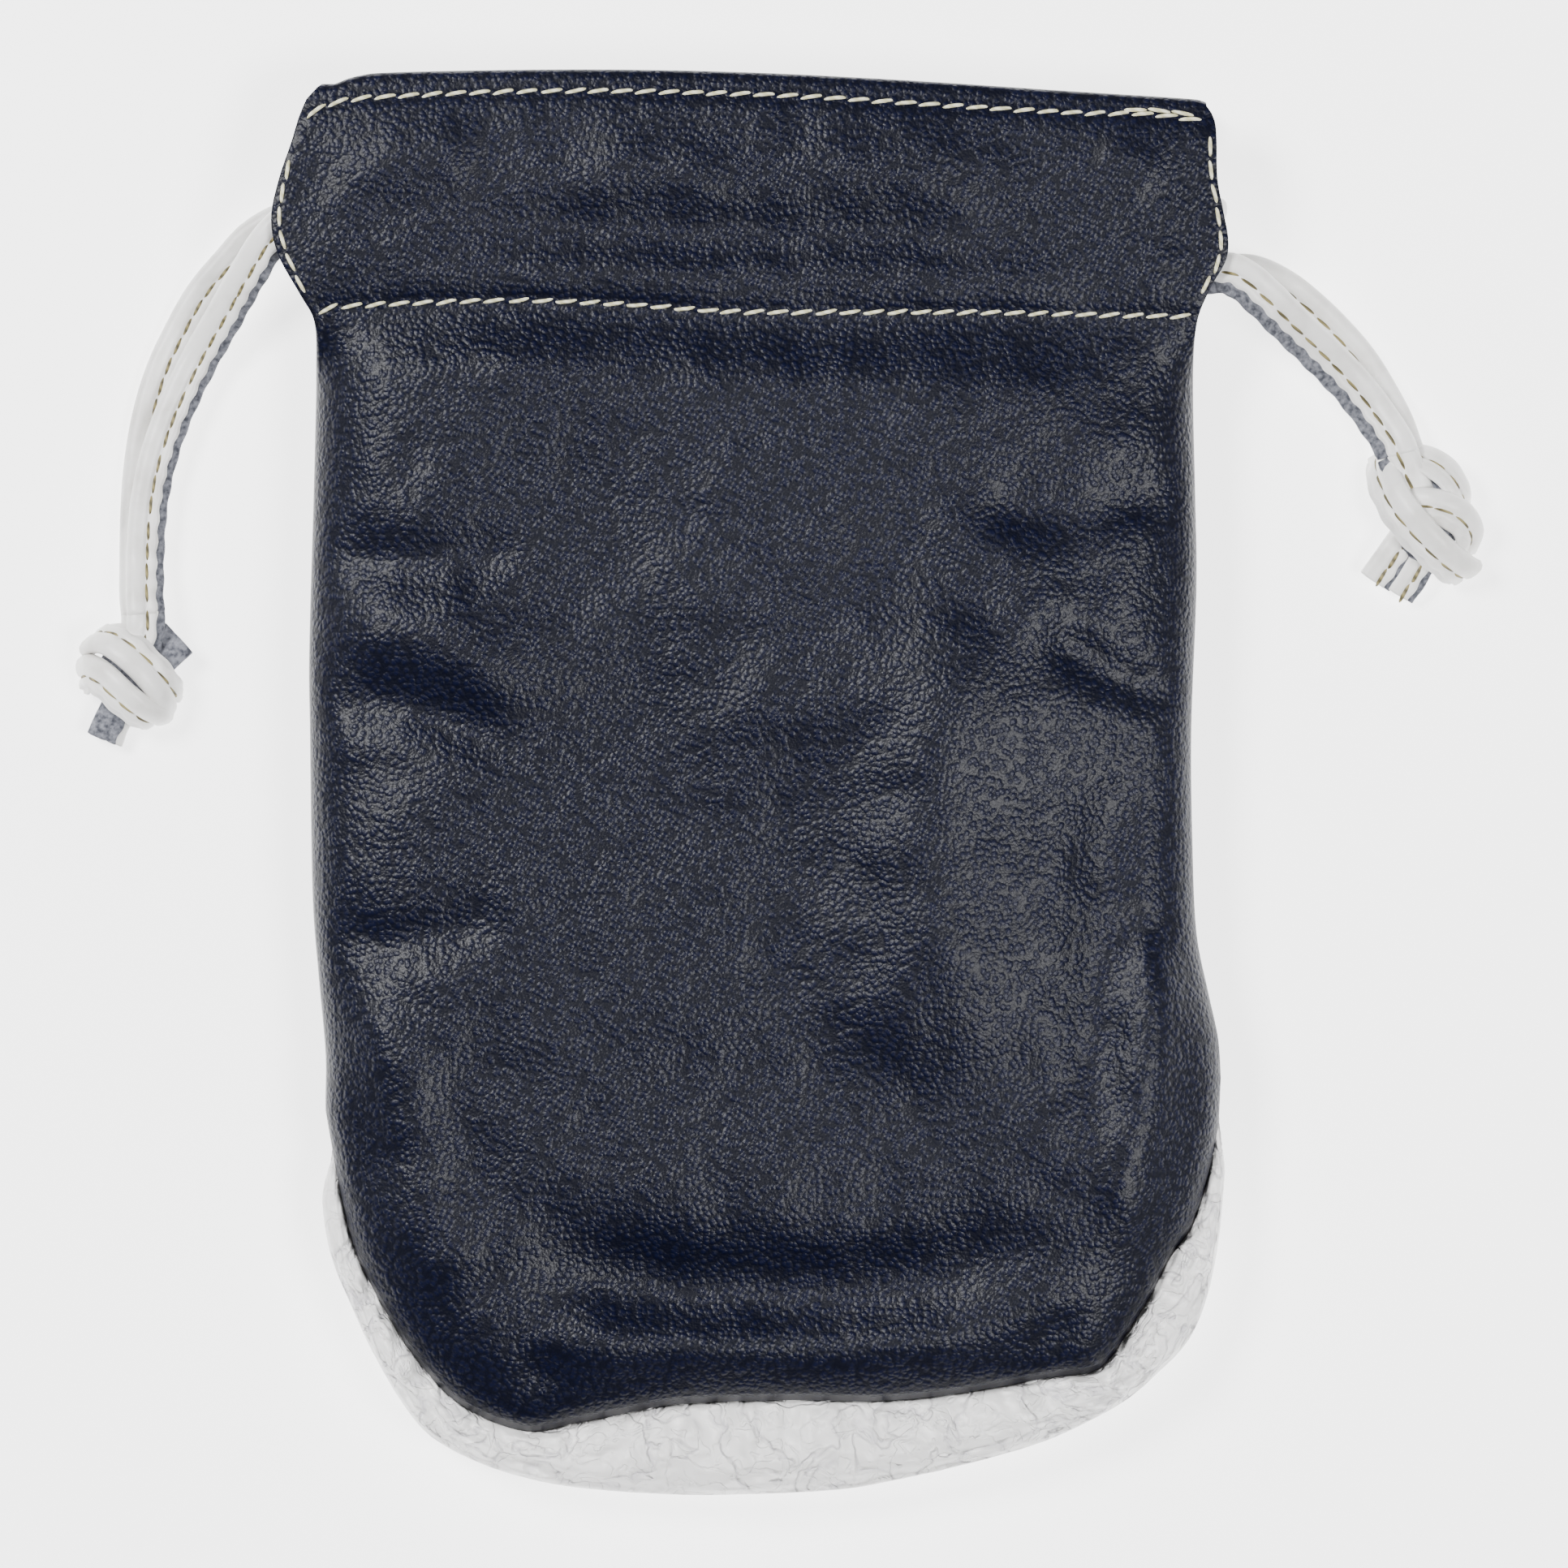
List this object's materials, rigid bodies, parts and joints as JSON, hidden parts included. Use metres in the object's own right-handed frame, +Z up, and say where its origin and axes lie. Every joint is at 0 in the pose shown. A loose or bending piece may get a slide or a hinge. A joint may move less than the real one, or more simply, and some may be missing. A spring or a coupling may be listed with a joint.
{
  "type": "drawstring pouch",
  "caption": "Soft leather drawstring pouch for dice or small valuables, with a stitched casing at the mouth, a contrast bottom gusset and knotted leather laces.",
  "frame": {"origin": "centre of the pouch's plan, on the surface that it lies on", "axes": "+X across the pouch's width, +Y towards its mouth, +Z up through its front panel"},
  "size_m": [0.2129, 0.2169, 0.02],
  "materials": {
    "navy_leather": "pebbled, soft satin",
    "white_leather": "smooth, soft satin",
    "lace_leather": "smooth, folded and stitched",
    "thread": "twisted polyester thread"
  },
  "bodies": {
    "root": {"front_panel": "navy_leather", "back_panel": "navy_leather", "bottom_gusset": "white_leather", "mouth_stitching_front": "thread", "mouth_stitching_back": "thread", "casing_stitching_front": "thread", "casing_stitching_back": "thread", "left_slit_stitching_front": "thread", "right_slit_stitching_front": "thread", "left_slit_stitching_back": "thread", "right_slit_stitching_back": "thread", "base_seam_thread_front": "thread", "base_seam_thread_back": "thread", "side_seam_thread_left": "thread", "side_seam_thread_right": "thread", "left_lace_return_bend": "lace_leather", "right_lace_return_bend": "lace_leather"},
    "left_lace": {"left_lace_front_run": "lace_leather", "left_lace_back_run": "lace_leather", "left_lace_front_strand": "lace_leather", "left_lace_back_strand": "lace_leather", "left_lace_knot": "lace_leather"},
    "right_lace": {"right_lace_front_run": "lace_leather", "right_lace_back_run": "lace_leather", "right_lace_front_strand": "lace_leather", "right_lace_back_strand": "lace_leather", "right_lace_knot": "lace_leather"}
  },
  "joints": [
    {"name": "left_lace_slide", "type": "slide", "parent": "root", "child": "left_lace", "axis": [-1, 0, 0], "range_m": [0, 0.085]},
    {"name": "right_lace_slide", "type": "slide", "parent": "root", "child": "right_lace", "axis": [1, 0, 0], "range_m": [0, 0.085]}
  ]
}
